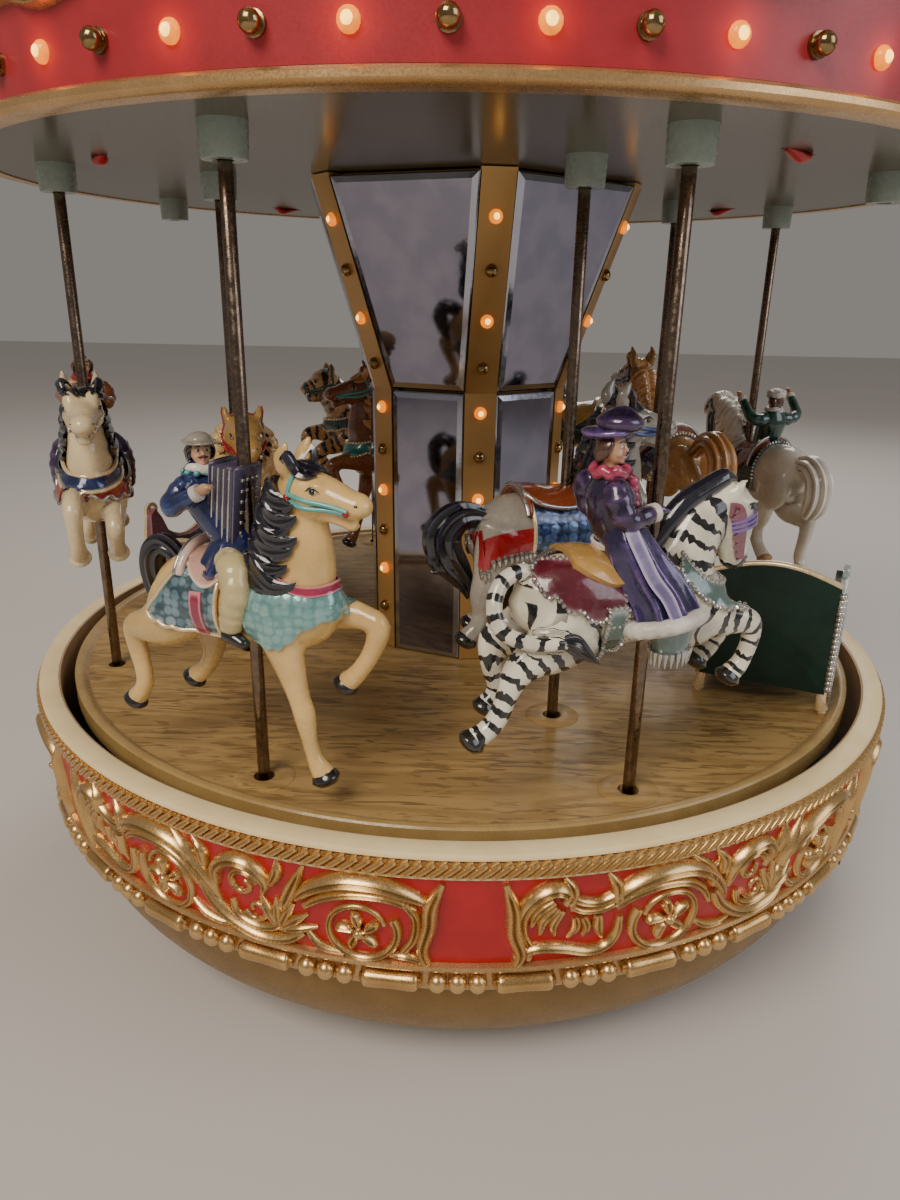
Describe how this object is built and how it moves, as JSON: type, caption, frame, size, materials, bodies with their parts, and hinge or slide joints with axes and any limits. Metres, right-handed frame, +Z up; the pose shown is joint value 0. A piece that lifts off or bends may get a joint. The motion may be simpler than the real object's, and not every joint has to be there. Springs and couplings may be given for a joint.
{
  "type": "tabletop toy carousel",
  "caption": "Tabletop model of a fairground carousel: bowl base, turning deck with mirrored column and canopy, animals that rise on poles, and chariots.",
  "frame": {"origin": "centre of the base's underside, on the surface it stands on, under the turning axis", "axes": "+Z up along the turning axis; -Y is the side that the picture was taken from, +X to its right"},
  "size_m": [0.3, 0.3, 0.356],
  "materials": {
    "gilt_plastic": "satin",
    "red_plastic": "satin",
    "cream_plastic": "satin",
    "oak_print": "satin",
    "black_plastic": "matte",
    "bronze_plastic": "satin",
    "mirror": "polished",
    "grey_plastic": "gloss",
    "pole_metal": "polished",
    "painted_cream": "gloss",
    "painted_white": "gloss",
    "painted_grey": "gloss",
    "painted_tan": "gloss",
    "painted_green": "gloss",
    "painted_burgundy": "gloss"
  },
  "bodies": {
    "base": {"base_bowl": "gilt_plastic", "underside_plate": "black_plastic", "spindle_plate": "black_plastic", "red_band": "red_plastic", "scroll_frieze": "gilt_plastic", "rope_moulding": "gilt_plastic", "rim_ring": "cream_plastic", "power_inlet": "black_plastic"},
    "turntable": {"deck": "oak_print", "column_core": "black_plastic", "column_frame": "bronze_plastic", "mirror_lower_1": "mirror", "mirror_lower_2": "mirror", "mirror_lower_3": "mirror", "mirror_lower_4": "mirror", "mirror_lower_5": "mirror", "mirror_lower_6": "mirror", "mirror_upper_1": "mirror", "mirror_upper_2": "mirror", "mirror_upper_3": "mirror", "mirror_upper_4": "mirror", "mirror_upper_5": "mirror", "mirror_upper_6": "mirror", "ceiling_disc": "grey_plastic", "canopy_trim": "gilt_plastic", "canopy_fascia": "red_plastic", "cartouche_band": "cream_plastic", "crown_moulding": "gilt_plastic", "roof": "red_plastic", "finial": "gilt_plastic", "chariot_1": "painted_green", "chariot_2": "painted_burgundy"},
    "ride_cream_horse": {"pole_cream_horse": "pole_metal", "cream_horse": "painted_cream"},
    "ride_palomino_horse": {"pole_palomino_horse": "pole_metal", "palomino_horse": "painted_cream"},
    "ride_zebra": {"pole_zebra": "pole_metal", "zebra": "painted_white"},
    "ride_white_horse": {"pole_white_horse": "pole_metal", "white_horse": "painted_white"},
    "ride_brown_horse": {"pole_brown_horse": "pole_metal", "brown_horse": "painted_tan"},
    "ride_tiger": {"pole_tiger": "pole_metal", "tiger": "painted_tan"},
    "ride_lion": {"pole_lion": "pole_metal", "lion": "painted_tan"},
    "ride_grey_horse": {"pole_grey_horse": "pole_metal", "grey_horse": "painted_grey"},
    "ride_tan_horse": {"pole_tan_horse": "pole_metal", "tan_horse": "painted_tan"},
    "ride_chestnut_horse": {"pole_chestnut_horse": "pole_metal", "chestnut_horse": "painted_tan"}
  },
  "joints": [
    {"name": "carousel_spin", "type": "hinge", "parent": "base", "child": "turntable", "pos_m": [0, 0, 0.0757], "axis": [0, 0, 1], "continuous": true},
    {"name": "cream_horse_rise", "type": "slide", "parent": "turntable", "child": "ride_cream_horse", "axis": [0, 0, 1], "range_m": [-0.013, 0.001]},
    {"name": "palomino_horse_rise", "type": "slide", "parent": "turntable", "child": "ride_palomino_horse", "axis": [0, 0, 1], "range_m": [0, 0.014]},
    {"name": "zebra_rise", "type": "slide", "parent": "turntable", "child": "ride_zebra", "axis": [0, 0, 1], "range_m": [-0.007, 0.007]},
    {"name": "white_horse_rise", "type": "slide", "parent": "turntable", "child": "ride_white_horse", "axis": [0, 0, 1], "range_m": [-0.002, 0.012]},
    {"name": "brown_horse_rise", "type": "slide", "parent": "turntable", "child": "ride_brown_horse", "axis": [0, 0, 1], "range_m": [-0.011, 0.003]},
    {"name": "tiger_rise", "type": "slide", "parent": "turntable", "child": "ride_tiger", "axis": [0, 0, 1], "range_m": [-0.007, 0.007]},
    {"name": "lion_rise", "type": "slide", "parent": "turntable", "child": "ride_lion", "axis": [0, 0, 1], "range_m": [-0.006, 0.008]},
    {"name": "grey_horse_rise", "type": "slide", "parent": "turntable", "child": "ride_grey_horse", "axis": [0, 0, 1], "range_m": [-0.009, 0.005]},
    {"name": "tan_horse_rise", "type": "slide", "parent": "turntable", "child": "ride_tan_horse", "axis": [0, 0, 1], "range_m": [-0.012, 0.002]},
    {"name": "chestnut_horse_rise", "type": "slide", "parent": "turntable", "child": "ride_chestnut_horse", "axis": [0, 0, 1], "range_m": [-0.003, 0.011]}
  ]
}
